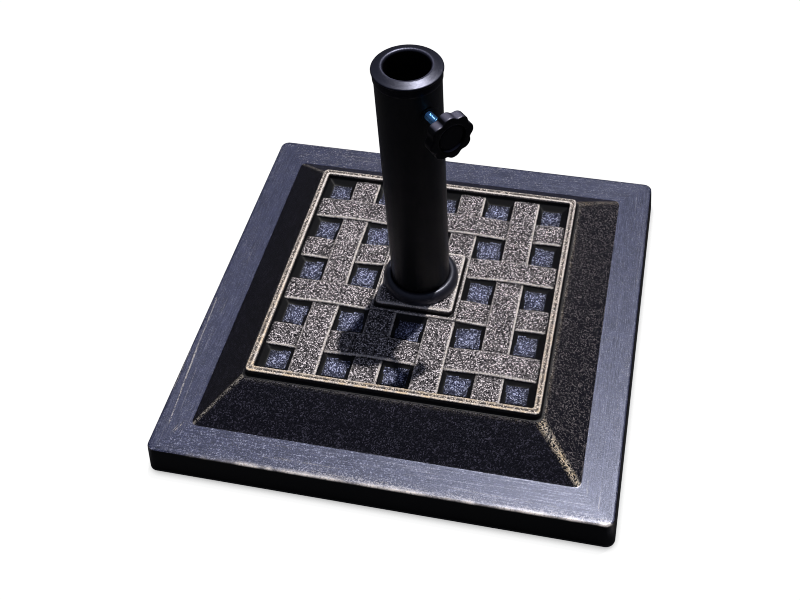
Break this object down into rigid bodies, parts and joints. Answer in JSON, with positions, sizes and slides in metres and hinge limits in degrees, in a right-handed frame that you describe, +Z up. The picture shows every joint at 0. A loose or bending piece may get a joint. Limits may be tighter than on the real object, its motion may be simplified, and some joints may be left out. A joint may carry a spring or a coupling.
{
  "type": "parasol base",
  "caption": "Square weighted parasol base with a woven-pattern top, a central pole tube, a trim ring, a reducer cap and a side clamp screw with a lobed knob.",
  "frame": {"origin": "centre of the footprint on the floor", "axes": "+Z up along the pole tube, +X along the front edge to the right, +Y from the front edge to the back"},
  "size_m": [0.4444, 0.4444, 0.3388],
  "materials": {
    "bronzed_resin": "grained moulded resin, near black, dry-brushed with pale bronze that is worn bright on edges",
    "cement": "cast cement",
    "black_plate": "fine moulded texture",
    "zinc_steel": "zinc plated",
    "zinc_screw": "bright blue-passivated zinc",
    "black_tube": "satin black powder coat",
    "black_plastic": "satin moulded plastic",
    "black_knob": "satin moulded plastic",
    "white_nylon": "natural nylon",
    "foot_rubber": "matt rubber"
  },
  "bodies": {
    "base": {"top_shell": "bronzed_resin", "ballast_block": "cement", "bottom_plate": "black_plate", "bottom_plate_screws": "zinc_steel", "access_plug": "black_plate", "anchor_plate": "zinc_steel", "hold_down_washer": "zinc_steel", "spring_washer": "zinc_steel", "hold_down_bolt": "zinc_steel", "stem_tube": "black_tube", "tube_end_disc": "black_tube", "tube_end_nut": "zinc_steel", "pole_seat_cup": "black_plastic", "clamp_insert": "black_tube", "foot_pad_front_left": "foot_rubber", "foot_pad_front_right": "foot_rubber", "foot_pad_rear_left": "foot_rubber", "foot_pad_rear_right": "foot_rubber"},
    "cap": {"top_cap": "black_plastic"},
    "collar": {"flange_collar": "black_plastic"},
    "clamp_tip": {"thrust_tip": "white_nylon"},
    "clamp_handle": {"clamp_screw": "zinc_screw", "clamp_knob": "black_knob", "knob_cap": "black_knob"}
  },
  "joints": [
    {"name": "clamp_travel", "type": "slide", "parent": "base", "child": "clamp_tip", "axis": [-0.7108, 0.7034, 0], "range_m": [-0.0055, 0.0185]},
    {"name": "knob_turn", "type": "hinge", "parent": "clamp_tip", "child": "clamp_handle", "pos_m": [0.02132, -0.0211, 0.3057], "axis": [-0.7108, 0.7034, 0], "range_deg": [-1580, 5320]},
    {"name": "cap_lift", "type": "slide", "parent": "base", "child": "cap", "axis": [0, 0, 1], "range_m": [0, 0.02]},
    {"name": "collar_slide", "type": "slide", "parent": "base", "child": "collar", "axis": [0, 0, 1], "range_m": [0, 0.19]}
  ],
  "couplings": [
    {"joint": "clamp_travel", "follows": "knob_turn", "m_per_rad": 0.00019894}
  ]
}
